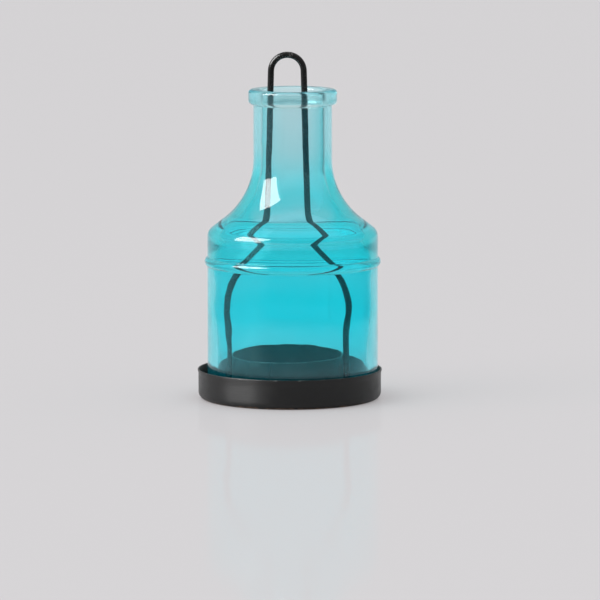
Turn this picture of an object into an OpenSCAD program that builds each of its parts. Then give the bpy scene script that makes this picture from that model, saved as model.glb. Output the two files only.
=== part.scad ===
// Candle lantern. A bottle-shaped glass chimney, open at both ends, stands loose in a shallow pressed
// tray. A candle ring is tacked to the tray's floor, and a hanger bent from one wire stands astride
// the ring, runs up inside the glass and leaves its mouth as a loop.
// Millimetres, +Z up. The origin is the middle of the tray's underside. The hanger lies in XZ, and
// the front of the lantern faces -Y.

/* [Candle ring] */
// Bore of the ring, a tealight's size with room for fingers
ring_bore_d = 41.4; // [36:0.2:54]
// Height of the ring above the tray's floor
ring_h = 15.4; // [10:0.1:24]
// Thickness of the strip that the ring is rolled from
ring_t = 0.6; // [0.4:0.05:1]
// Angle from the front to the strip's free end, towards -X
lap_turn = 16.5; // [13:0.5:45]
// Length over which the strip laps itself
lap_len = 8.5; // [5:0.5:12]
// Place along X of the ring and hanger, welded a little off the tray's middle
holder_shift = -0.9; // [-1.2:0.1:1.2]

/* [Hanger] */
// Diameter of the wire
wire_d = 2.3; // [1.8:0.1:3]
// Clear width inside the loop
loop_gap = 10.1; // [8:0.1:12]
// Height of the loop's top above the mouth of the glass
loop_rise = 14.3; // [12:0.1:40]
// How far each leg spreads between the loop and its upper bend
leg_spread = 1.5; // [0.5:0.1:2.5]
// Height of the upper bends above the foot of the glass's shoulder
bend_rise = 7.2; // [5:0.1:12]
// Height of the knees above the tray's floor
knee_h = 38.3; // [36:0.1:42]
// How far the knees stand out beyond the feet
knee_bulge = 1.5; // [0.8:0.1:2.5]
// Height above the tray's floor at which the legs lean out from the ring's side
ankle_h = 24.3; // [18:0.1:26]
// Centre-line radius of the upper bends
bend_r = 11; // [6:0.5:14]
// Centre-line radius of the knees and of the bends below them
knee_r = 25; // [12:0.5:26]
// Gap that the weld bridges between a leg and the ring
weld_gap = 0.1; // [0.05:0.05:0.4]

/* [Glass] */
// Air between a knee and the wall of the glass
leg_air = 4.6; // [3.4:0.1:8]
// Air between the loop's wire and the bore of the neck
neck_air = 4.2; // [3.8:0.1:8]
// Thickness of the wall in the body
wall_t = 2.7; // [2:0.1:3.6]
// How much thicker the wall grows towards the foot
foot_swell = 1.2; // [0.8:0.1:1.8]
// Height above the tray's floor at which the wall starts to thicken
taper_h = 33.3; // [30:0.1:40]
// Slope of the bore where the wall thickens, from upright
taper_turn = 4; // [3.5:0.1:6]
// Radius that eases the bore in and out of that slope
taper_r = 60; // [20:1:80]
// Thickness of the wall in the neck
neck_wall_t = 3.4; // [2:0.1:4.5]
// Height from the foot to the middle of the bead
body_h = 51.9; // [42:0.1:75]
// Height of the bead that rings the body
bead_h = 4; // [3:0.1:7]
// How far the bead stands out
bead_rise = 1.05; // [0.5:0.05:1.4]
// Height from the middle of the bead to the foot of the shoulder
band_h = 9.5; // [6:0.1:16]
// Radius that rounds the edge of the shoulder
edge_r = 4.2; // [3.8:0.1:6]
// Radius that rounds the bore under the shoulder
bore_edge_r = 20; // [14:0.5:22]
// How far below the shoulder's foot the bore starts to turn in
bore_drop = 9.1; // [8:0.1:11]
// Slope of the shoulder, from upright
slope_turn = 52.4; // [46:0.1:56]
// Radius that sweeps the shoulder into the neck
sweep_r = 28.9; // [18:0.1:36]
// Length of the straight neck
neck_h = 20.4; // [8:0.1:40]
// Height of the flange at the mouth
flange_h = 5.85; // [4.5:0.05:9]
// How far the flange stands out from the neck
flange_rise = 1.9; // [0.8:0.1:2.6]
// Rounding of the mouth's two edges
lip_r = 1.4; // [0.6:0.1:1.8]
// Rounding of the foot's outer and inner edges
foot_r = 1.3; // [0.6:0.05:1.35]

/* [Tray] */
// Thickness of the tray's sheet
sheet_t = 0.7; // [0.5:0.05:1.2]
// Height of the tray
tray_h = 11.4; // [8:0.1:16]
// Play all round between the glass and the tray's wall
glass_play = 1.7; // [1.4:0.1:4]
// Share of that play by which the glass stands off centre, towards +X
glass_lean = 0.65; // [0:0.05:0.7]
// How far the lip flares out
lip_flare = 0.3; // [0:0.05:0.8]
// Height of the flared stretch under the lip
flare_h = 1.6; // [1:0.1:3]

/* [Welds] */
// Radius of the weld round each foot of the hanger
foot_weld_r = 2.3; // [1.8:0.1:3]
// Size of the tack welds between the ring and the floor
tack_r = 1.2; // [0.8:0.1:1.8]
// Length of a tack weld, as an angle round the ring
tack_turn = 22; // [10:1:24]

/* [Hidden] */
$fn = 96;
arc_steps = 8;
wire_r = wire_d / 2;
joint_r = wire_r * 1.02;
joint_gap = wire_r * 0.05;
floor_z = sheet_t;

ring_in = ring_bore_d / 2;
ring_out = ring_in + ring_t;
lap_angle = lap_len / ring_out * 180 / PI;
jog_angle = lap_angle / 3;
lap_step = 2;

foot_x = ring_out + weld_gap + wire_r;
knee_x = foot_x + knee_bulge;
loop_r = loop_gap / 2 + wire_r;

glass_in = knee_x + wire_r + leg_air;
glass_out = glass_in + wall_t;
neck_in = loop_r + wire_r + neck_air;
neck_out = neck_in + neck_wall_t;
flange_out = neck_out + flange_rise;
bead_curve_r = (bead_h * bead_h / 4 + bead_rise * bead_rise) / (2 * bead_rise);
bead_half_turn = asin(bead_h / 2 / bead_curve_r);
foot_in = glass_in - foot_swell;
bead_z = floor_z + body_h;
shoulder_z = bead_z + band_h;
neck_z = shoulder_z + shoulder_height(glass_out, neck_out, edge_r, sweep_r);
flange_z = neck_z + neck_h;
mouth_z = flange_z + flange_h;
bore_edge_z = shoulder_z - bore_drop;
bore_flat = 0.2;
sweep_in = (glass_in - neck_in - bore_flat) / (1 - cos(slope_turn)) - bore_edge_r;
neck_in_z = bore_edge_z + shoulder_height(glass_in, neck_in, bore_edge_r, sweep_in);
taper_z = floor_z + taper_h;
taper_run = (foot_swell - 2 * taper_r * (1 - cos(taper_turn))) / tan(taper_turn);
taper_low_z = taper_z - 2 * taper_r * sin(taper_turn) - taper_run;

glass_x = glass_play * glass_lean;
side_room = glass_play - glass_x;
tray_in = glass_out + glass_play;
tray_out = tray_in + sheet_t;
corner_in = foot_r + side_room;
corner_out = corner_in + sheet_t;

loop_z = mouth_z + loop_rise - wire_r - loop_r;
loop_middle = [0, loop_z];
bend_point = [loop_r + leg_spread, shoulder_z + bend_rise];
knee_point = [knee_x, floor_z + knee_h];
ankle_point = [foot_x, floor_z + ankle_h];
foot_point = [foot_x, floor_z];
to_bend = bend_point - loop_middle;
loop_turn = atan2(to_bend.y, to_bend.x) + acos(loop_r / norm(to_bend));
loop_end = loop_middle + loop_r * [cos(loop_turn), sin(loop_turn)];

black = [0.11, 0.11, 0.12];
weld_black = [0.16, 0.15, 0.15];
teal = [0.05, 0.72, 0.8, 0.5];

// Points along an arc, from one angle to another
function arc(middle, r, from, to, steps = arc_steps) =
    [for (i = [0 : steps]) let (a = from + (to - from) * i / steps) middle + r * [cos(a), sin(a)]];

// Rise of a shoulder that turns in from a body, runs straight and sweeps up into a neck
function shoulder_height(body, neck, edge, sweep) =
    (edge + sweep) * sin(slope_turn)
    + (body - neck - (edge + sweep) * (1 - cos(slope_turn))) / tan(slope_turn);

function unit(v) = v / norm(v);

// Half of the angle inside a corner of the wire, where p and n are the points before and after it
function half_corner(p, corner, n) = acos(unit(p - corner) * unit(n - corner)) / 2;

// Middle of the bend of radius r that rounds a corner
function bend_middle(p, corner, n, r) =
    corner + unit(unit(p - corner) + unit(n - corner)) * r / sin(half_corner(p, corner, n));

// Point where the bend of radius r at a corner runs out towards n
function bend_end(p, corner, n, r) =
    corner + unit(n - corner) * r / tan(half_corner(p, corner, n));

// Straight length of wire between two points of the hanger's plane, a hair short of both
module straight(p, q) {
    run = q - p;
    translate([p.x, p.y, 0])
        rotate([0, 0, atan2(run.y, run.x)])
        rotate([0, 90, 0])
        translate([0, 0, joint_gap])
        cylinder(d = wire_d, h = norm(run) - 2 * joint_gap);
}

// Bent length of wire round a middle, swept counter-clockwise, with a ball that joins it at each end
module bent(middle, r, from, sweep) {
    translate([middle.x, middle.y, 0])
        rotate([0, 0, from]) {
            rotate_extrude(angle = sweep) translate([r, 0]) circle(d = wire_d);
            for (turn = [0, sweep]) rotate([0, 0, turn]) translate([r, 0, 0]) sphere(r = joint_r);
        }
}

// Bend of radius r at a corner of one leg
module corner_bend(p, corner, n, r) {
    middle = bend_middle(p, corner, n, r);
    sweep = 180 - 2 * half_corner(p, corner, n);
    to_right = cross(corner - p, n - corner) < 0;
    start = (to_right ? bend_end(p, corner, n, r) : bend_end(n, corner, p, r)) - middle;
    bent(middle, r, atan2(start.y, start.x), sweep);
}

// Lowest straight of one leg, run on below the floor so that it can be cut flush
module foot_length() {
    straight(bend_end(knee_point, ankle_point, foot_point, knee_r), foot_point - [0, wire_d]);
}

// One leg, from the loop to below the floor
module leg() {
    upper_end = bend_end(loop_end, bend_point, knee_point, bend_r);
    knee_end = bend_end(bend_point, knee_point, ankle_point, knee_r);
    straight(loop_end, bend_end(knee_point, bend_point, loop_end, bend_r));
    corner_bend(loop_end, bend_point, knee_point, bend_r);
    straight(upper_end, bend_end(ankle_point, knee_point, bend_point, knee_r));
    corner_bend(bend_point, knee_point, ankle_point, knee_r);
    straight(knee_end, bend_end(foot_point, ankle_point, knee_point, knee_r));
    corner_bend(knee_point, ankle_point, foot_point, knee_r);
    foot_length();
}

// Stands a shape drawn in the hanger's plane upright in XZ
module upright() {
    rotate([90, 0, 0]) children();
}

// Places what is welded to the tray
module on_holder() {
    translate([holder_shift, 0, 0]) children();
}

// Everything below the tray's floor
module below_floor() {
    translate([-tray_out, -tray_out, floor_z - tray_out])
        cube([2 * tray_out, 2 * tray_out, tray_out]);
}

// Pressed sheet dish with a rounded corner and a slightly flared, rounded lip
module tray() {
    edge_in_r = tray_in + lip_flare;
    lip_middle = [edge_in_r + sheet_t / 2, tray_h - sheet_t / 2];
    color(black)
        rotate_extrude()
        polygon(concat(
            [[0, 0]],
            arc([tray_out - corner_out, corner_out], corner_out, 270, 360),
            [[tray_out, tray_h - flare_h]],
            arc(lip_middle, sheet_t / 2, 0, 180),
            [[tray_in, tray_h - flare_h]],
            arc([tray_in - corner_in, floor_z + corner_in], corner_in, 360, 270),
            [[0, floor_z]]
        ));
}

// Outline of the strip's outer lap seen from above, from its square free end to where it jogs in
function lap_outline() =
    let (
        start = 270 - lap_turn,
        full = [for (a = [0 : lap_step : lap_angle]) a],
        inner_r = ring_in + ring_t / 2,
        outer_r = ring_out + ring_t
    )
    concat(
        [for (a = full) outer_r * [cos(start - a), sin(start - a)]],
        [inner_r * [cos(start - lap_angle - jog_angle), sin(start - lap_angle - jog_angle)]],
        [for (i = [len(full) - 1 : -1 : 0]) inner_r * [cos(start - full[i]), sin(start - full[i])]]
    );

// Rolled strip standing on the floor, its ends lapped at the front
module candle_ring() {
    color(black)
        on_holder()
        translate([0, 0, floor_z]) {
            difference() {
                cylinder(r = ring_out, h = ring_h);
                translate([0, 0, -1]) cylinder(r = ring_in, h = ring_h + 2);
            }
            linear_extrude(height = ring_h) polygon(lap_outline());
        }
}

// Short fillet welds that tack the ring to the floor, at the front and the back
module ring_welds() {
    color(weld_black)
        on_holder()
        for (facing = [90, 270])
        rotate([0, 0, facing - tack_turn / 2])
        rotate_extrude(angle = tack_turn)
        translate([ring_out, floor_z])
        polygon(concat([[0, 0]], arc([0, 0], tack_r, 0, 90)));
}

// One wire: a loop on two legs that bend out, in at the knees and stand upright beside the ring
module hanger() {
    color(black)
        on_holder()
        difference() {
            upright() {
                bent(loop_middle, loop_r, loop_turn, 180 - 2 * loop_turn);
                leg();
                mirror([1, 0, 0]) leg();
            }
            below_floor();
        }
}

// Welds that hold the two feet to the floor and to the ring
module hanger_welds() {
    color(weld_black)
        on_holder()
        for (side = [0, 1])
        mirror([side, 0, 0])
        difference() {
            translate([foot_x, 0, floor_z]) sphere(r = foot_weld_r);
            below_floor();
            cylinder(r = ring_out, h = tray_h);
            upright() foot_length();
        }
}

// Blown chimney: foot, body, bead, band, shoulder, neck and flanged mouth round one bore, which
// narrows to the foot and rounds into the shoulder
module glass_chimney() {
    outside = concat(
        arc([glass_out - foot_r, floor_z + foot_r], foot_r, 270, 360),
        arc([glass_out + bead_rise - bead_curve_r, bead_z], bead_curve_r, -bead_half_turn, bead_half_turn),
        arc([glass_out - edge_r, shoulder_z], edge_r, 0, slope_turn),
        arc([neck_out + sweep_r, neck_z], sweep_r, 180 + slope_turn, 180, 2 * arc_steps),
        arc([neck_out, flange_z + flange_rise], flange_rise, 270, 360),
        arc([flange_out - lip_r, mouth_z - lip_r], lip_r, 0, 90)
    );
    inside = concat(
        arc([neck_in + lip_r, mouth_z - lip_r], lip_r, 90, 180),
        arc([neck_in + sweep_in, neck_in_z], sweep_in, 180, 180 + slope_turn, 2 * arc_steps),
        arc([glass_in - bore_edge_r, bore_edge_z], bore_edge_r, slope_turn, 0, 2 * arc_steps),
        arc([glass_in - taper_r, taper_z], taper_r, 0, -taper_turn),
        arc([foot_in + taper_r, taper_low_z], taper_r, 180 - taper_turn, 180),
        arc([foot_in + foot_r, floor_z + foot_r], foot_r, 180, 270)
    );
    color(teal)
        translate([glass_x, 0, 0])
        rotate_extrude()
        polygon(concat(outside, inside));
}

tray();
candle_ring();
ring_welds();
hanger();
hanger_welds();
glass_chimney();
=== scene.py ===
import math

import bpy
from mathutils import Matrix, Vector


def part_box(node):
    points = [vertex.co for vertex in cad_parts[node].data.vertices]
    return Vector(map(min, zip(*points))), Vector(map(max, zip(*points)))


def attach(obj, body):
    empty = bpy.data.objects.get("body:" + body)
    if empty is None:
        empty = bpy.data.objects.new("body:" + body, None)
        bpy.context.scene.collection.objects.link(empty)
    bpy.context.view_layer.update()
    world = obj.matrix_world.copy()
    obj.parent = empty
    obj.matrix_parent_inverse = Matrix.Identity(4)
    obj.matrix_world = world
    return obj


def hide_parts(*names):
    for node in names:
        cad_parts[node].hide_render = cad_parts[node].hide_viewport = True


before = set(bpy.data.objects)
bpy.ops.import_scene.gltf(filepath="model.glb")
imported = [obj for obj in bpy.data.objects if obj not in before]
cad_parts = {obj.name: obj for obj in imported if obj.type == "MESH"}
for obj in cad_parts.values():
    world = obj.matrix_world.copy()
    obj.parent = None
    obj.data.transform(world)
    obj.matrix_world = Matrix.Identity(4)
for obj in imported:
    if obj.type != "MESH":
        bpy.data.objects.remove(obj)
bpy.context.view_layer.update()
scene = bpy.context.scene
scene.view_settings.view_transform = "Standard"


# Tray. A shallow dish pressed from thin steel sheet, with a rounded corner and a lip that flares out
# a little, coated satin black. Everything else stands in it. Its outline is turned round its axis.
sheet = 0.0007
lip_flare = 0.0003
flare_height = 0.0016
corner_inside = 0.0019
press_marks = 0.00006
tray_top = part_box("tray")[1].z
tray_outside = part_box("tray")[1].x - lip_flare
tray_inside = tray_outside - sheet
corner_outside = corner_inside + sheet
coat_black = (0.006, 0.0058, 0.006, 1)
coat_dust = (0.05, 0.048, 0.046, 1)
worn_brown = (0.2, 0.12, 0.07, 1)
worn_grey = (0.21, 0.205, 0.2, 1)


def add(tree, kind, sockets, **options):
    """Adds a node to a tree, sets its options, and sets or links its inputs."""
    made = tree.nodes.new(kind)
    for option, value in options.items():
        setattr(made, option, value)
    for key, value in sockets.items():
        if isinstance(value, bpy.types.NodeSocket):
            tree.links.new(value, made.inputs[key])
        else:
            made.inputs[key].default_value = value
    return made


def sums(tree, operation, first, second=0.0):
    """The result of a Math node on two numbers or sockets."""
    return add(tree, "ShaderNodeMath", {0: first, 1: second}, operation=operation).outputs[0]


def ramp(tree, value, start, end, low=0.0, high=1.0):
    """A value eased from low to high between start and end."""
    limits = {"Value": value, "From Min": start, "From Max": end, "To Min": low, "To Max": high}
    return add(tree, "ShaderNodeMapRange", limits, interpolation_type="SMOOTHSTEP").outputs[0]


def mixed(tree, share, first, second):
    """A colour that goes from the first to the second."""
    sockets = {"Factor": share, "A": first, "B": second}
    made = tree.nodes.new("ShaderNodeMix")
    made.data_type = "RGBA"
    for socket in made.inputs:
        if socket.enabled and socket.name in sockets:
            value = sockets[socket.name]
            if isinstance(value, bpy.types.NodeSocket):
                tree.links.new(value, socket)
            else:
                socket.default_value = value
    return next(socket for socket in made.outputs if socket.enabled)


def new_group(name, kind, inputs, outputs):
    """A node group with named inputs and outputs, and its two end nodes."""
    tree = bpy.data.node_groups.new(name, kind)
    for direction, sockets in (("INPUT", inputs), ("OUTPUT", outputs)):
        for label, socket_type in sockets:
            tree.interface.new_socket(label, in_out=direction, socket_type="NodeSocket" + socket_type)
    return tree, tree.nodes.new("NodeGroupInput").outputs, tree.nodes.new("NodeGroupOutput").inputs


def black_coat_group():
    """Sprayed black coat: fine grain, clouds of dust, and chips to what is under it where it wears."""
    inputs = [
        ("Coat", "Color"), ("Dust", "Color"), ("Bare", "Color"), ("Wear", "Float"), ("Dusty", "Float"),
        ("Satin", "Float"), ("Streaks", "Vector"),
    ]
    outputs = [("Color", "Color"), ("Roughness", "Float"), ("Height", "Float")]
    tree, given, put_out = new_group("black_coat", "ShaderNodeTree", inputs, outputs)
    place = add(tree, "ShaderNodeTexCoord", {}).outputs["Object"]
    stretch = {0: place, 1: given["Streaks"]}
    drawn = add(tree, "ShaderNodeVectorMath", stretch, operation="MULTIPLY").outputs[0]
    grain = add(tree, "ShaderNodeTexNoise", {"Vector": drawn, "Scale": 1700, "Detail": 3}).outputs[0]
    broad = {"Vector": place, "Scale": 150, "Detail": 6, "Roughness": 0.68}
    clouds = add(tree, "ShaderNodeTexNoise", broad).outputs[0]
    small = {"Vector": place, "Scale": 620, "Detail": 3, "Roughness": 0.7}
    flecks = add(tree, "ShaderNodeTexNoise", small).outputs[0]
    dust = sums(tree, "MULTIPLY", ramp(tree, clouds, 0.38, 0.72), given["Dusty"])
    chance = sums(tree, "ADD", flecks, sums(tree, "MULTIPLY", given["Wear"], 0.34))
    chipped = sums(tree, "MULTIPLY", ramp(tree, chance, 0.74, 0.84), given["Wear"])
    dusty = mixed(tree, dust, given["Coat"], given["Dust"])
    tree.links.new(mixed(tree, chipped, dusty, given["Bare"]), put_out["Color"])
    gloss = sums(tree, "ADD", given["Satin"], ramp(tree, clouds, 0.3, 0.7, -0.05, 0.07))
    tree.links.new(sums(tree, "ADD", gloss, sums(tree, "MULTIPLY", chipped, 0.15)), put_out["Roughness"])
    pits = sums(tree, "MULTIPLY", chipped, 1.5)
    tree.links.new(sums(tree, "SUBTRACT", grain, pits), put_out["Height"])
    return tree


black_coat = black_coat_group()


def coated(name, coat, wear_at, dusty, satin, grain_depth, streaks=(1, 1, 1), brushed=0.0):
    """The black coat, dusty where it faces up, worn where wear_at says, and brushed round the axis."""
    finish = bpy.data.materials.new(name)
    finish.use_nodes = True
    tree = finish.node_tree
    shader = tree.nodes["Principled BSDF"]
    shader.inputs["Specular IOR Level"].default_value = 0.5
    shader.inputs["Anisotropic"].default_value = brushed
    shader.inputs["Anisotropic Rotation"].default_value = 0.25
    place = add(tree, "ShaderNodeTexCoord", {}).outputs["Object"]
    height = add(tree, "ShaderNodeSeparateXYZ", {0: place}).outputs["Z"]
    look = tree.nodes.new("ShaderNodeGroup")
    look.node_tree = black_coat
    for label, value in {"Coat": coat, "Dust": coat_dust, "Satin": satin, "Streaks": streaks}.items():
        look.inputs[label].default_value = value
    facing = add(tree, "ShaderNodeNewGeometry", {}).outputs["Normal"]
    upward = ramp(tree, add(tree, "ShaderNodeSeparateXYZ", {0: facing}).outputs["Z"], 0.4, 0.9, dusty, 1)
    tree.links.new(upward, look.inputs["Dusty"])
    bare = mixed(tree, ramp(tree, height, 0.003, 0.006), worn_brown, worn_grey)
    tree.links.new(bare, look.inputs["Bare"])
    tree.links.new(wear_at(tree, height), look.inputs["Wear"])
    bump = add(tree, "ShaderNodeBump", {"Height": look.outputs["Height"], "Distance": grain_depth})
    tree.links.new(look.outputs["Color"], shader.inputs["Base Color"])
    tree.links.new(look.outputs["Roughness"], shader.inputs["Roughness"])
    tree.links.new(bump.outputs["Normal"], shader.inputs["Normal"])
    return finish


def arc(middle, radius, start, end, step=6):
    """Points of an outline along an arc, as distances from the axis and heights."""
    count = math.ceil(abs(end - start) / step)
    turns = [math.radians(start + (end - start) * i / count) for i in range(count + 1)]
    return [(middle[0] + radius * math.cos(a), middle[1] + radius * math.sin(a)) for a in turns]


def filled(points, longest=0.002):
    """The same outline with its long straight stretches cut into short ones."""
    result = []
    for here, there in zip(points, points[1:]):
        count = math.ceil(math.dist(here, there) / longest)
        for i in range(count):
            result.append(tuple(p + (q - p) * i / count for p, q in zip(here, there)))
    return result + [points[-1]]


def edges_only(name, *rows, closed=False):
    """A mesh of points in rows, each joined to the next by an edge."""
    mesh = bpy.data.meshes.new(name)
    places, pairs = [], []
    for row in rows:
        first = len(places)
        places += row
        pairs += [(i, i + 1) for i in range(first, len(places) - 1)]
        if closed:
            pairs.append((len(places) - 1, first))
    mesh.from_pydata(places, pairs, [])
    return mesh


def turning_tree():
    """Turns an outline in XZ round an upright axis, then dents it inwards and ripples its inner face."""
    inputs = [
        ("Outline", "Geometry"), ("Segments", "Int"), ("Axis", "Vector"), ("Dents", "Float"),
        ("Ripple", "Float"), ("Ripple size", "Float"), ("Finish", "Material"),
    ]
    outputs = [("Piece", "Geometry")]
    tree, given, put_out = new_group("turned_outline", "GeometryNodeTree", inputs, outputs)
    spindle = 0.001
    line = add(tree, "GeometryNodeMeshToCurve", {"Mesh": given["Outline"]}).outputs[0]
    flat = {"Geometry": line, "Translation": (-spindle, 0, 0), "Rotation": (math.pi / 2, 0, 0)}
    profile = add(tree, "GeometryNodeTransform", flat).outputs[0]
    circle = {"Resolution": given["Segments"], "Radius": spindle}
    path = add(tree, "GeometryNodeCurvePrimitiveCircle", circle).outputs[0]
    turned = add(tree, "GeometryNodeCurveToMesh", {"Curve": path, "Profile Curve": profile}).outputs[0]
    merged = add(tree, "GeometryNodeMergeByDistance", {"Geometry": turned, "Distance": 1e-6}).outputs[0]
    flipped = add(tree, "GeometryNodeFlipFaces", {"Mesh": merged}).outputs[0]
    place = add(tree, "GeometryNodeInputPosition", {}).outputs[0]
    level = {0: place, 1: (1, 1, 0)}
    outwards = add(tree, "ShaderNodeVectorMath", level, operation="MULTIPLY").outputs[0]
    facing = add(tree, "GeometryNodeInputNormal", {}).outputs[0]
    across = add(tree, "ShaderNodeVectorMath", {0: facing, 1: outwards}, operation="DOT_PRODUCT")
    inner = ramp(tree, across.outputs["Value"], -0.001, -0.004)
    marked = {"Geometry": flipped, "Name": "inner", "Value": inner}
    joined = add(tree, "GeometryNodeStoreNamedAttribute", marked, data_type="FLOAT").outputs[0]
    broad = add(tree, "ShaderNodeTexNoise", {"Vector": place, "Scale": 45, "Detail": 1}).outputs[0]
    fine = {"Vector": place, "Scale": given["Ripple size"], "Detail": 1}
    ripple = sums(tree, "SUBTRACT", add(tree, "ShaderNodeTexNoise", fine).outputs[0], 0.5)
    inside = sums(tree, "MULTIPLY", sums(tree, "MULTIPLY", ripple, inner), given["Ripple"])
    dents = sums(tree, "MULTIPLY", sums(tree, "MULTIPLY", broad, given["Dents"]), -1.0)
    reach = add(tree, "ShaderNodeVectorMath", {0: outwards}, operation="NORMALIZE").outputs[0]
    push = {0: reach, "Scale": sums(tree, "ADD", dents, inside)}
    offset = add(tree, "ShaderNodeVectorMath", push, operation="SCALE").outputs[0]
    moved = add(tree, "GeometryNodeSetPosition", {"Geometry": joined, "Offset": offset}).outputs[0]
    shift = {"Geometry": moved, "Translation": given["Axis"]}
    placed = add(tree, "GeometryNodeTransform", shift).outputs[0]
    smooth = add(tree, "GeometryNodeSetShadeSmooth", {"Geometry": placed}).outputs[0]
    real = add(tree, "GeometryNodeRealizeInstances", {"Geometry": smooth}).outputs[0]
    finished = {"Geometry": real, "Material": given["Finish"]}
    tree.links.new(add(tree, "GeometryNodeSetMaterial", finished).outputs[0], put_out["Piece"])
    return tree


def grown(name, start, tree, values):
    """The piece that a tree makes from a starting mesh, as a plain mesh object at the origin."""
    seed = bpy.data.objects.new(name + "_start", start)
    scene.collection.objects.link(seed)
    modifier = seed.modifiers.new("shape", "NODES")
    modifier.node_group = tree
    for socket in tree.interface.items_tree:
        if socket.in_out == "INPUT" and socket.name in values:
            modifier[socket.identifier] = values[socket.name]
    graph = bpy.context.evaluated_depsgraph_get()
    mesh = bpy.data.meshes.new_from_object(seed.evaluated_get(graph))
    bpy.data.objects.remove(seed)
    piece = bpy.data.objects.new(name, mesh)
    scene.collection.objects.link(piece)
    return piece


def tray_wear(tree, height):
    """Worn along the lip and along the edge that it stands on."""
    lip = ramp(tree, height, tray_top - 0.0008, tray_top)
    foot = ramp(tree, height, 0.0014, 0.0002)
    return sums(tree, "MAXIMUM", sums(tree, "MULTIPLY", lip, 0.6), foot)


lip_middle = (tray_inside + lip_flare + sheet / 2, tray_top - sheet / 2)
tray_outline = [
    (0, 0),
    *arc((tray_outside - corner_outside, corner_outside), corner_outside, 270, 360),
    (tray_outside, tray_top - flare_height),
    *arc(lip_middle, sheet / 2, 0, 180, 15),
    (tray_inside, tray_top - flare_height),
    *arc((tray_inside - corner_inside, sheet + corner_inside), corner_inside, 360, 270),
    (0, sheet),
]
tray_places = [(x, 0, z) for x, z in filled(tray_outline)]
turned_outline = turning_tree()
tray = grown("tray_dish", edges_only("tray_outline", tray_places), turned_outline, {
    "Segments": 192,
    "Axis": (0, 0, 0),
    "Dents": press_marks,
    "Ripple": 0.0,
    "Ripple size": 60.0,
    "Finish": coated("tray_coat", coat_black, tray_wear, 0.1, 0.45, 0.00004, (0.06, 0.06, 1), 0.75),
})
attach(tray, "base")
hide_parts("tray")


# Candle ring. A strip of the same sheet, rolled up so that its ends lap at the front left, where the
# outer end jogs over the inner one. It stands on the tray's floor and takes a tealight.
strip = 0.0006
strip_edge = 0.00014
lap_turn = 16.5
lap_length = 22.5
jog_turn = 7.5
lap_air = 0.00003
ring_low, ring_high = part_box("candle_ring")
holder_x = (ring_low.x + ring_high.x) / 2
ring_middle = (ring_high.x - ring_low.x - strip) / 2


def strip_tree():
    """Sweeps an upright strip with rounded edges along a route on the floor."""
    inputs = [
        ("Route", "Geometry"), ("Thickness", "Float"), ("Height", "Float"), ("Edge", "Float"),
        ("Finish", "Material"),
    ]
    tree, given, put_out = new_group("rolled_strip", "GeometryNodeTree", inputs, [("Piece", "Geometry")])
    path = add(tree, "GeometryNodeMeshToCurve", {"Mesh": given["Route"]}).outputs[0]
    section = {"Width": given["Thickness"], "Height": given["Height"]}
    square = add(tree, "GeometryNodeCurvePrimitiveQuadrilateral", section).outputs[0]
    rounding = {"Curve": square, "Count": 5, "Radius": given["Edge"]}
    rounded = add(tree, "GeometryNodeFilletCurve", rounding, mode="POLY").outputs[0]
    sweep = {"Curve": path, "Profile Curve": rounded, "Fill Caps": True}
    swept = add(tree, "GeometryNodeCurveToMesh", sweep).outputs[0]
    smooth = add(tree, "GeometryNodeSetShadeSmooth", {"Geometry": swept}).outputs[0]
    real = add(tree, "GeometryNodeRealizeInstances", {"Geometry": smooth}).outputs[0]
    finished = {"Geometry": real, "Material": given["Finish"]}
    tree.links.new(add(tree, "GeometryNodeSetMaterial", finished).outputs[0], put_out["Piece"])
    return tree


def ring_wear(tree, height):
    """Worn along the upper edge, where candles go in and out."""
    return sums(tree, "MULTIPLY", ramp(tree, height, ring_high.z - 0.0005, ring_high.z), 0.8)


def strip_route():
    """Places along the strip's middle, from its outer end round to the inner end under the lap."""
    places = []
    for turn in range(0, 361 + int(lap_length), 2):
        jog = min(max((turn - lap_length) / jog_turn, 0), 1)
        radius = ring_middle + (strip + lap_air) * (1 - jog * jog * (3 - 2 * jog))
        angle = math.radians(270 - lap_turn - turn)
        middle_z = (ring_low.z + ring_high.z) / 2
        places.append((holder_x + radius * math.cos(angle), radius * math.sin(angle), middle_z))
    return places


candle_ring = grown("candle_ring_strip", edges_only("ring_route", strip_route()), strip_tree(), {
    "Thickness": strip,
    "Height": ring_high.z - ring_low.z,
    "Edge": strip_edge,
    "Finish": coated("ring_coat", coat_black, ring_wear, 0.5, 0.42, 0.00004),
})
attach(candle_ring, "base")
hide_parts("candle_ring")


# Ring welds. Two short rippled beads in the corner between the ring and the floor, at the front and
# the back, coated over together with the tray. Each is swept round the ring's foot.
tack = 0.0012
tack_turn = 22
weld_pitch = 0.0009
weld_black = (0.02, 0.0185, 0.0175, 1)
ring_outside = ring_middle + strip / 2


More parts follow.
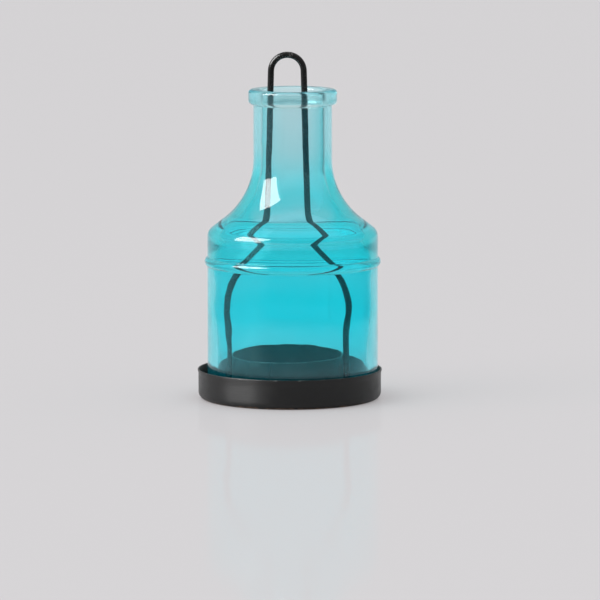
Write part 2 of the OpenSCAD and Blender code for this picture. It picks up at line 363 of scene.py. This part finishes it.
def weld_tree():
    """Sweeps a quarter-round bead along routes, rippled along its length and thinner at its ends."""
    inputs = [
        ("Routes", "Geometry"), ("Leg", "Float"), ("Tall", "Float"), ("Pitch", "Float"),
        ("Finish", "Material"),
    ]
    tree, given, put_out = new_group("weld_bead", "GeometryNodeTree", inputs, [("Piece", "Geometry")])
    line = add(tree, "GeometryNodeMeshToCurve", {"Mesh": given["Routes"]}).outputs[0]
    path = add(tree, "GeometryNodeResampleCurve", {"Curve": line, "Count": 72}, mode="COUNT").outputs[0]
    along = add(tree, "GeometryNodeSplineParameter", {}).outputs
    wave = sums(tree, "DIVIDE", sums(tree, "MULTIPLY", along["Length"], math.pi), given["Pitch"])
    ripple = sums(tree, "ABSOLUTE", sums(tree, "SINE", wave))
    share = along["Factor"]
    ends = sums(tree, "MULTIPLY", ramp(tree, share, 0, 0.15), ramp(tree, share, 1, 0.85))
    size = sums(tree, "MULTIPLY", ramp(tree, ripple, 0, 1, 0.88, 1), ramp(tree, ends, 0, 1, 0.5, 1))
    quarter = {
        "Resolution": 9, "Radius": given["Leg"], "Start Angle": 0.0, "Sweep Angle": math.pi / 2,
        "Connect Center": True,
    }
    slice_of = add(tree, "GeometryNodeCurveArc", quarter, mode="RADIUS").outputs[0]
    upwards = sums(tree, "MULTIPLY", given["Tall"], -1.0)
    stretch = add(tree, "ShaderNodeCombineXYZ", {"X": 1.0, "Y": upwards, "Z": 1.0}).outputs[0]
    section = add(tree, "GeometryNodeTransform", {"Geometry": slice_of, "Scale": stretch}).outputs[0]
    sweep = {"Curve": path, "Profile Curve": section, "Scale": size, "Fill Caps": True}
    swept = add(tree, "GeometryNodeCurveToMesh", sweep).outputs[0]
    turned = add(tree, "GeometryNodeFlipFaces", {"Mesh": swept}).outputs[0]
    smooth = add(tree, "GeometryNodeSetShadeSmooth", {"Geometry": turned}).outputs[0]
    real = add(tree, "GeometryNodeRealizeInstances", {"Geometry": smooth}).outputs[0]
    finished = {"Geometry": real, "Material": given["Finish"]}
    tree.links.new(add(tree, "GeometryNodeSetMaterial", finished).outputs[0], put_out["Piece"])
    return tree


def weld_wear(tree, height):
    """Thin cover on the crests of a bead."""
    return ramp(tree, height, sheet, sheet + 0.003, 0.35, 0.5)


def level_arc(middle_x, radius, start, end, height):
    """Places along an arc that lies level round an upright axis."""
    return [(middle_x + x, y, height) for x, y in arc((0, 0), radius, start, end, 2)]


weld_bead = weld_tree()
weld_finish = coated("weld_coat_rough", weld_black, weld_wear, 0.4, 0.5, 0.00008)
tack_routes = [
    level_arc(holder_x, ring_outside, facing - tack_turn / 2, facing + tack_turn / 2, ring_low.z)
    for facing in (90, 270)
]
ring_welds = grown("ring_weld_beads", edges_only("tack_routes", *tack_routes), weld_bead, {
    "Leg": tack,
    "Tall": 1.0,
    "Pitch": weld_pitch,
    "Finish": weld_finish,
})
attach(ring_welds, "base")
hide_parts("ring_welds")


# Hanger. One steel wire, bent by hand to a loop on two legs that spread over the ring, come in at the
# knees and stand upright against the ring. It is coated black before it is welded in.
wire_across = 0.0024
loop_bend = 0.0062
leg_bend = 0.011
hand_wobble = 0.0002
foot_out = 0.02255
ankle_height = 0.025
knee_out = 0.02405
knee_height = 0.039
knee_bend = 0.025
shoulder_bend_out = 0.0077
shoulder_bend_height = 0.0693
wire_black = (0.008, 0.0078, 0.0076, 1)
hanger_low, hanger_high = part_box("hanger")
crown_height = hanger_high.z - wire_across / 2


def wire_tree():
    """Rounds the corners of a route, lets it wander a little, and sweeps a round wire along it."""
    inputs = [
        ("Route", "Geometry"), ("Across", "Float"), ("Wobble", "Float"), ("Finish", "Material"),
    ]
    tree, given, put_out = new_group("bent_wire", "GeometryNodeTree", inputs, [("Piece", "Geometry")])
    corners = add(tree, "GeometryNodeMeshToCurve", {"Mesh": given["Route"]}).outputs[0]
    bend = add(tree, "GeometryNodeInputNamedAttribute", {"Name": "bend"}, data_type="FLOAT").outputs[0]
    rounding = {"Curve": corners, "Count": 28, "Radius": bend, "Limit Radius": True}
    rounded = add(tree, "GeometryNodeFilletCurve", rounding, mode="POLY").outputs[0]
    pieces = {"Curve": rounded, "Count": 320}
    even = add(tree, "GeometryNodeResampleCurve", pieces, mode="COUNT").outputs[0]
    place = add(tree, "GeometryNodeInputPosition", {}).outputs[0]
    noise = add(tree, "ShaderNodeTexNoise", {"Vector": place, "Scale": 75, "Detail": 2}).outputs["Color"]
    middle = {0: noise, 1: (-0.5, -0.5, -0.5)}
    drift = add(tree, "ShaderNodeVectorMath", middle, operation="ADD").outputs[0]
    level = add(tree, "ShaderNodeVectorMath", {0: drift, 1: (1, 1, 0)}, operation="MULTIPLY").outputs[0]
    push = {0: level, "Scale": given["Wobble"]}
    offset = add(tree, "ShaderNodeVectorMath", push, operation="SCALE").outputs[0]
    bent = add(tree, "GeometryNodeSetPosition", {"Geometry": even, "Offset": offset}).outputs[0]
    radius = sums(tree, "MULTIPLY", given["Across"], 0.5)
    circle = {"Resolution": 28, "Radius": radius}
    section = add(tree, "GeometryNodeCurvePrimitiveCircle", circle).outputs[0]
    sweep = {"Curve": bent, "Profile Curve": section, "Fill Caps": True}
    swept = add(tree, "GeometryNodeCurveToMesh", sweep).outputs[0]
    smooth = add(tree, "GeometryNodeSetShadeSmooth", {"Geometry": swept}).outputs[0]
    real = add(tree, "GeometryNodeRealizeInstances", {"Geometry": smooth}).outputs[0]
    finished = {"Geometry": real, "Material": given["Finish"]}
    tree.links.new(add(tree, "GeometryNodeSetMaterial", finished).outputs[0], put_out["Piece"])
    return tree


def wire_wear(tree, height):
    """Rubbed under the crown of the loop, where it hangs."""
    return sums(tree, "MULTIPLY", ramp(tree, height, crown_height - 0.004, crown_height), 0.5)


to_bend = Vector((shoulder_bend_out, shoulder_bend_height - crown_height + loop_bend))
leg_turn = math.atan2(to_bend.y, to_bend.x) + math.acos(loop_bend / to_bend.length)
crown_out = loop_bend * (1 - math.sin(leg_turn)) / math.cos(leg_turn)
leg_corners = [
    (foot_out, hanger_low.z, 0.0),
    (foot_out, ankle_height, knee_bend),
    (knee_out, knee_height, knee_bend),
    (shoulder_bend_out, shoulder_bend_height, leg_bend),
    (crown_out, crown_height, loop_bend),
]
wire_corners = [(-x, z, r) for x, z, r in leg_corners] + leg_corners[::-1]
wire_route = edges_only("wire_route", [(holder_x + x, 0, z) for x, z, r in wire_corners])
bends = wire_route.attributes.new("bend", "FLOAT", "POINT")
bends.data.foreach_set("value", [r for x, z, r in wire_corners])
hanger = grown("hanger_wire", wire_route, wire_tree(), {
    "Across": wire_across,
    "Wobble": hand_wobble,
    "Finish": coated("hanger_coat", wire_black, wire_wear, 0.12, 0.24, 0.00003),
})
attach(hanger, "base")
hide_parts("hanger")


# Hanger welds. A rippled bead round the outer side of each of the wire's feet, which holds it to the
# floor. It is the same bead as the ring's, but stands higher up the wire.
foot_weld = 0.00115
foot_weld_tall = 1.9
foot_routes = [
    level_arc(holder_x + side * foot_out, wire_across / 2, facing - 105, facing + 105, hanger_low.z)
    for side, facing in ((1, 0), (-1, 180))
]
hanger_welds = grown("hanger_weld_beads", edges_only("foot_routes", *foot_routes), weld_bead, {
    "Leg": foot_weld,
    "Tall": foot_weld_tall,
    "Pitch": weld_pitch,
    "Finish": weld_finish,
})
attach(hanger_welds, "base")
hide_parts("hanger_welds")


# Glass chimney. Blown in one piece: foot, body, bead, band, shoulder, neck and flanged mouth. Its wall
# thickens to the foot and in the shoulder. The turquoise tint is paler towards the mouth.
wall = 0.0027
neck_wall = 0.0034
foot_swell = 0.0012
taper_top = 0.034
taper_turn = 4.0
taper_bend = 0.06
foot_round = 0.0013
bead_height = 0.0526
bead_rise = 0.00105
bead_curve = 0.002
bead_blend = 0.0004
shoulder_height = 0.0621
shoulder_edge = 0.0042
shoulder_slope = 52.4
bore_edge = 0.02
bore_drop = 0.0091
sweep = 0.0289
sweep_inside = 0.0263
neck_outside = 0.01495
flange_rise = 0.0019
flange_tall = 0.00585
flange_blend = 0.0005
lip_round = 0.0014
wall_ripple = 0.0002
mouth_haze = 0.12
mouth_from = 0.111
mouth_full = 0.113
mouth_slant_share = 0.35
glass_low, glass_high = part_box("glass_chimney")
glass_x = (glass_low.x + glass_high.x) / 2
glass_outside = (glass_high.x - glass_low.x) / 2 - bead_rise
glass_inside = glass_outside - wall
foot_inside = glass_inside - foot_swell
neck_inside = neck_outside - neck_wall
tints = [
    (0.0, (0.4, 0.93, 0.99, 1)),
    (0.02, (0.38, 0.93, 0.99, 1)),
    (0.027, (0.27, 0.93, 1, 1)),
    (0.034, (0.11, 0.93, 1, 1)),
    (0.041, (0.19, 0.935, 1, 1)),
    (0.048, (0.31, 0.935, 1, 1)),
    (0.055, (0.2, 0.93, 0.99, 1)),
    (0.062, (0.23, 0.93, 0.985, 1)),
    (0.066, (0.58, 0.945, 0.985, 1)),
    (0.07, (0.85, 0.955, 0.985, 1)),
    (0.076, (0.45, 0.945, 0.98, 1)),
    (0.084, (0.64, 0.95, 0.975, 1)),
    (0.095, (0.84, 0.965, 0.98, 1)),
    (0.118, (0.99, 0.985, 0.99, 1)),
]
slant_tint = (0.03, 0.9, 0.95, 1)
depth_tint = (0.067, 0.93, 0.985, 1)
depth_density = 50.0
shade_tint = (1, 0.93, 0.925, 1)
tint_unevenness = 0.011
veil_share = 0.08
veil_tint = (0.0, 0.75, 0.95, 1)


def shoulder_rise(body, neck, edge, sweep_radius):
    """Height of a shoulder that turns in from the body, runs straight and sweeps up into the neck."""
    slope = math.radians(shoulder_slope)
    straight = body - neck - (edge + sweep_radius) * (1 - math.cos(slope))
    return (edge + sweep_radius) * math.sin(slope) + straight / math.tan(slope)


def bulge(wall_x, middle, radius, blend, from_below, to_above):
    """A round bulge on an upright wall, blended into it below, and above if it comes back to it."""
    off = wall_x + blend - middle[0]
    drop = math.sqrt((radius + blend) ** 2 - off**2)
    lean = math.degrees(math.atan2(drop, off))
    start = arc((wall_x + blend, middle[1] - drop), blend, 180, 180 - lean, 9) if from_below else []
    end = arc((wall_x + blend, middle[1] + drop), blend, 180 + lean, 180, 9) if to_above else []
    return start + arc(middle, radius, -lean, lean if to_above else 0) + end


def glass_material():
    """Clear glass, tinted through its depth and at its faces, under a thin teal veil.

    Shadow rays, and rays that are trapped in the wall, pass straight on in a nearly neutral tone.
    """
    finish = bpy.data.materials.new("chimney_glass")
    finish.use_nodes = True
    tree = finish.node_tree
    shader = tree.nodes["Principled BSDF"]
    shader.inputs["Transmission Weight"].default_value = 1
    shader.inputs["IOR"].default_value = 1.5
    shader.inputs["Sheen Weight"].default_value = veil_share
    shader.inputs["Sheen Roughness"].default_value = 1
    shader.inputs["Sheen Tint"].default_value = veil_tint
    place = add(tree, "ShaderNodeTexCoord", {}).outputs["Object"]
    height = add(tree, "ShaderNodeSeparateXYZ", {0: place}).outputs["Z"]
    clouds = add(tree, "ShaderNodeTexNoise", {"Vector": place, "Scale": 75, "Detail": 5}).outputs[0]
    uneven = sums(tree, "MULTIPLY", sums(tree, "SUBTRACT", clouds, 0.5), tint_unevenness)
    limits = {0: sums(tree, "ADD", height, uneven), 1: tints[0][0], 2: tints[-1][0]}
    fade = add(tree, "ShaderNodeValToRGB", {"Fac": add(tree, "ShaderNodeMapRange", limits).outputs[0]})
    stops = fade.color_ramp.elements
    stops[0].color = tints[0][1]
    stops[1].color = tints[-1][1]
    for z, tint in tints[1:-1]:
        stops.new(z / tints[-1][0]).color = tint
    inner = add(tree, "ShaderNodeAttribute", {}, attribute_name="inner").outputs["Fac"]
    slant = add(tree, "ShaderNodeLayerWeight", {"Blend": 0.5}).outputs["Facing"]
    outer = sums(tree, "MULTIPLY", sums(tree, "SUBTRACT", 1.0, inner), ramp(tree, height, 0.046, 0.052))
    outer = sums(tree, "MULTIPLY", outer, ramp(tree, height, 0.085, 0.1, 1, 0.35))
    aslant = sums(tree, "MULTIPLY", ramp(tree, slant, 0.27, 0.45), ramp(tree, slant, 0.92, 0.72))
    inside = sums(tree, "MULTIPLY", slant, inner)
    deeper = sums(tree, "MAXIMUM", inside, sums(tree, "MULTIPLY", aslant, outer))
    below_mouth = ramp(tree, height, mouth_from, mouth_full, 1, mouth_slant_share)
    tint = mixed(tree, sums(tree, "MULTIPLY", deeper, below_mouth), fade.outputs["Color"], slant_tint)
    smudges = add(tree, "ShaderNodeTexNoise", {"Vector": place, "Scale": 140, "Detail": 4}).outputs[0]
    hazy = ramp(tree, height, mouth_from, mouth_full, 0, mouth_haze)
    blurred = sums(tree, "ADD", ramp(tree, smudges, 0.5, 0.8, 0.0, 0.03), hazy)
    tree.links.new(blurred, shader.inputs["Roughness"])
    waves = add(tree, "ShaderNodeTexNoise", {"Vector": place, "Scale": 130, "Detail": 1}).outputs[0]
    bump = add(tree, "ShaderNodeBump", {"Height": waves, "Distance": 0.00005})
    tree.links.new(bump.outputs["Normal"], shader.inputs["Normal"])
    tree.links.new(tint, shader.inputs["Base Color"])
    passing = add(tree, "ShaderNodeBsdfTransparent", {"Color": shade_tint}).outputs[0]
    rays = add(tree, "ShaderNodeLightPath", {}).outputs
    trapped = sums(tree, "GREATER_THAN", rays["Glossy Depth"], 2.5)
    lighting = sums(tree, "MAXIMUM", rays["Is Shadow Ray"], rays["Is Diffuse Ray"])
    unbent = sums(tree, "MAXIMUM", lighting, trapped)
    surface = add(tree, "ShaderNodeMixShader", {0: unbent, 1: shader.outputs[0], 2: passing}).outputs[0]
    tree.links.new(surface, tree.nodes["Material Output"].inputs["Surface"])
    depth = add(tree, "ShaderNodeVolumeAbsorption", {"Color": depth_tint, "Density": depth_density})
    tree.links.new(depth.outputs[0], tree.nodes["Material Output"].inputs["Volume"])
    return finish


def taper():
    """The bore's inward taper to the foot, eased in and out, from the top down."""
    lean = math.radians(taper_turn)
    slant = (foot_swell - 2 * taper_bend * (1 - math.cos(lean))) / math.sin(lean)
    taper_low = taper_top - 2 * taper_bend * math.sin(lean) - slant * math.cos(lean)
    upper = arc((glass_inside - taper_bend, taper_top), taper_bend, 0, -taper_turn, 1)
    return upper + arc((foot_inside + taper_bend, taper_low), taper_bend, 180 - taper_turn, 180, 1)


neck_foot = shoulder_height + shoulder_rise(glass_outside, neck_outside, shoulder_edge, sweep)
bore_edge_height = shoulder_height - bore_drop
neck_foot_inside = bore_edge_height + shoulder_rise(glass_inside, neck_inside, bore_edge, sweep_inside)
flange_outside = neck_outside + flange_rise
flange_middle = (neck_outside, glass_high.z - flange_tall + flange_rise)
bead_middle = (glass_outside + bead_rise - bead_curve, bead_height)
glass_outline = [
    *arc((glass_outside - foot_round, glass_low.z + foot_round), foot_round, 270, 360),
    *bulge(glass_outside, bead_middle, bead_curve, bead_blend, True, True),
    *arc((glass_outside - shoulder_edge, shoulder_height), shoulder_edge, 0, shoulder_slope),
    *arc((neck_outside + sweep, neck_foot), sweep, 180 + shoulder_slope, 180, 3),
    *bulge(neck_outside, flange_middle, flange_rise, flange_blend, True, False),
    *arc((flange_outside - lip_round, glass_high.z - lip_round), lip_round, 0, 90),
    *arc((neck_inside + lip_round, glass_high.z - lip_round), lip_round, 90, 180),
    *arc((neck_inside + sweep_inside, neck_foot_inside), sweep_inside, 180, 180 + shoulder_slope, 3),
    *arc((glass_inside - bore_edge, bore_edge_height), bore_edge, shoulder_slope, 0, 3),
    *taper(),
    *arc((foot_inside + foot_round, glass_low.z + foot_round), foot_round, 180, 270),
]
glass_places = [(x, 0, z) for x, z in filled(glass_outline)]
glass_edge = edges_only("glass_outline", glass_places, closed=True)
glass = grown("glass_chimney_turned", glass_edge, turned_outline, {
    "Segments": 192,
    "Axis": (glass_x, 0, 0),
    "Dents": 0.0,
    "Ripple": wall_ripple,
    "Ripple size": 90.0,
    "Finish": glass_material(),
})
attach(glass, "glass")
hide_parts("glass_chimney")


# Floor. A wide pale table top with a faint sheen, which takes the lantern's shadow and fills the view.
# The camera sees it partly lit from within, so that the shadow stays pale, and the glass mirrors it as
# dim at the sides and in front, as in a room that is dark behind the camera.
floor_half = 6.0
floor_pale = (0.6, 0.588, 0.6, 1)
# Paler cover for the floor as seen through the glass: painted light.
floor_painted_paler_through_glass = (0.68, 0.672, 0.69, 1)
floor_dim = (0.08, 0.079, 0.081, 1)
floor_seen = (0.36, 0.353, 0.36, 1)
floor_glow = (0.278, 0.271, 0.278, 1)
floor_mesh = bpy.data.meshes.new("floor")
floor_corners = [(-1, -1), (1, -1), (1, 1), (-1, 1)]
floor_places = [(x * floor_half, y * floor_half, 0) for x, y in floor_corners]
floor_mesh.from_pydata(floor_places, [], [(0, 1, 2, 3)])
floor = bpy.data.objects.new("floor", floor_mesh)
scene.collection.objects.link(floor)


def floor_material():
    """Pale matt cover with a faint sheen, painted paler where seen through the glass, and dimmed at the
    sides and in front for mirrored rays only.
    """
    finish = bpy.data.materials.new("floor_pale")
    finish.use_nodes = True
    tree = finish.node_tree
    shader = tree.nodes["Principled BSDF"]
    place = add(tree, "ShaderNodeTexCoord", {}).outputs["Object"]
    away = add(tree, "ShaderNodeVectorMath", {0: place}, operation="LENGTH").outputs["Value"]
    facing = add(tree, "ShaderNodeVectorMath", {0: place}, operation="NORMALIZE").outputs[0]
    side = add(tree, "ShaderNodeSeparateXYZ", {0: facing}).outputs
    in_front = ramp(tree, side["Y"], 0.72, 0.45)
    off_left = ramp(tree, side["X"], -0.8, -0.4, 0.55, 1)
    dim = sums(tree, "MULTIPLY", sums(tree, "MULTIPLY", in_front, off_left), ramp(tree, away, 0.11, 0.2))
    rays = add(tree, "ShaderNodeLightPath", {}).outputs
    mirrored = sums(tree, "GREATER_THAN", rays["Glossy Depth"], 0.5)
    # Rays that come through the glass see the paler cover, which is painted light.
    pale = mixed(tree, rays["Is Transmission Ray"], floor_pale, floor_painted_paler_through_glass)
    colour = mixed(tree, sums(tree, "MULTIPLY", dim, mirrored), pale, floor_dim)
    straight = rays["Is Camera Ray"]
    tree.links.new(mixed(tree, straight, colour, floor_seen), shader.inputs["Base Color"])
    tree.links.new(mixed(tree, straight, (0, 0, 0, 1), floor_glow), shader.inputs["Emission Color"])
    shader.inputs["Emission Strength"].default_value = 1
    shader.inputs["Roughness"].default_value = 0.6
    shader.inputs["Specular IOR Level"].default_value = 0
    shader.inputs["Coat Weight"].default_value = 0.2
    shader.inputs["Coat Roughness"].default_value = 0.08
    return finish


floor_mesh.materials.append(floor_material())


# Studio. One soft window of light at the upper left and a dim room that is paler behind, both painted
# on the world so that the floor is evenly lit, and the camera at the photograph's angle.
window_towards = Vector((-0.759, -0.307, 0.574)).normalized()
window_half_width = math.tan(math.radians(19.5))
window_half_height = math.tan(math.radians(18.5))
window_soft_edge = 0.03
window_strength = 2.4
window_in_gloss = 13.0
window_through_glass = 2.0
room_fill_low = 0.3
room_fill_high = 1.27
room_left = 0.25
room_front = 0.2
room_back = 0.4
backdrop = 0.66


def studio_world():
    """The room's light by direction, with the pale backdrop where the camera looks past the floor."""
    world = bpy.data.worlds.new("studio")
    world.use_nodes = True
    tree = world.node_tree
    towards = add(tree, "ShaderNodeTexCoord", {}).outputs["Generated"]
    across = window_towards.cross(Vector((0, 0, 1))).normalized()
    upwards = across.cross(window_towards)

    def along(axis):
        made = add(tree, "ShaderNodeVectorMath", {0: towards, 1: axis}, operation="DOT_PRODUCT")
        return made.outputs["Value"]

    ahead = along(window_towards)
    depth = sums(tree, "MAXIMUM", ahead, 0.01)
    lit = sums(tree, "GREATER_THAN", ahead, 0.02)
    for axis, half in ((across, window_half_width), (upwards, window_half_height)):
        offset = sums(tree, "ABSOLUTE", sums(tree, "DIVIDE", along(axis), depth))
        lit = sums(tree, "MULTIPLY", lit, ramp(tree, offset, half + window_soft_edge, half))
    rays = add(tree, "ShaderNodeLightPath", {}).outputs

    def by_ray(straight, mirrored, through):
        mirror = {"Factor": rays["Is Glossy Ray"], "A": straight, "B": mirrored}
        in_gloss = add(tree, "ShaderNodeMix", mirror).outputs[0]
        both = {"Factor": rays["Is Transmission Ray"], "A": in_gloss, "B": through}
        return add(tree, "ShaderNodeMix", both).outputs[0]

    depthwise = ramp(tree, along((0, 1, 0)), -0.7, 0.6, room_front, room_back)
    around = sums(tree, "ADD", depthwise, ramp(tree, along((-1, 0, 0)), 0.3, 0.9, 0, room_left))
    window = sums(tree, "MULTIPLY", lit, by_ray(window_strength, window_in_gloss, window_through_glass))
    fill = ramp(tree, along((0, 0, 1)), 0, 1, room_fill_low, room_fill_high)
    light = sums(tree, "ADD", by_ray(fill, around, backdrop), window)
    view = {"Factor": rays["Is Camera Ray"], "A": light, "B": backdrop}
    seen = add(tree, "ShaderNodeMix", view).outputs[0]
    tree.links.new(seen, tree.nodes["Background"].inputs["Color"])
    return world


scene.world = studio_world()
camera_place = (0.0039, -1.985, 0.2847)
camera_pitch = 7.097
camera_lens = 314.8
camera = bpy.data.objects.new("camera", bpy.data.cameras.new("camera"))
camera.location = camera_place
camera.rotation_euler = (math.radians(90 - camera_pitch), 0, 0)
camera.data.lens = camera_lens
camera.data.clip_end = 100
scene.collection.objects.link(camera)
scene.camera = camera
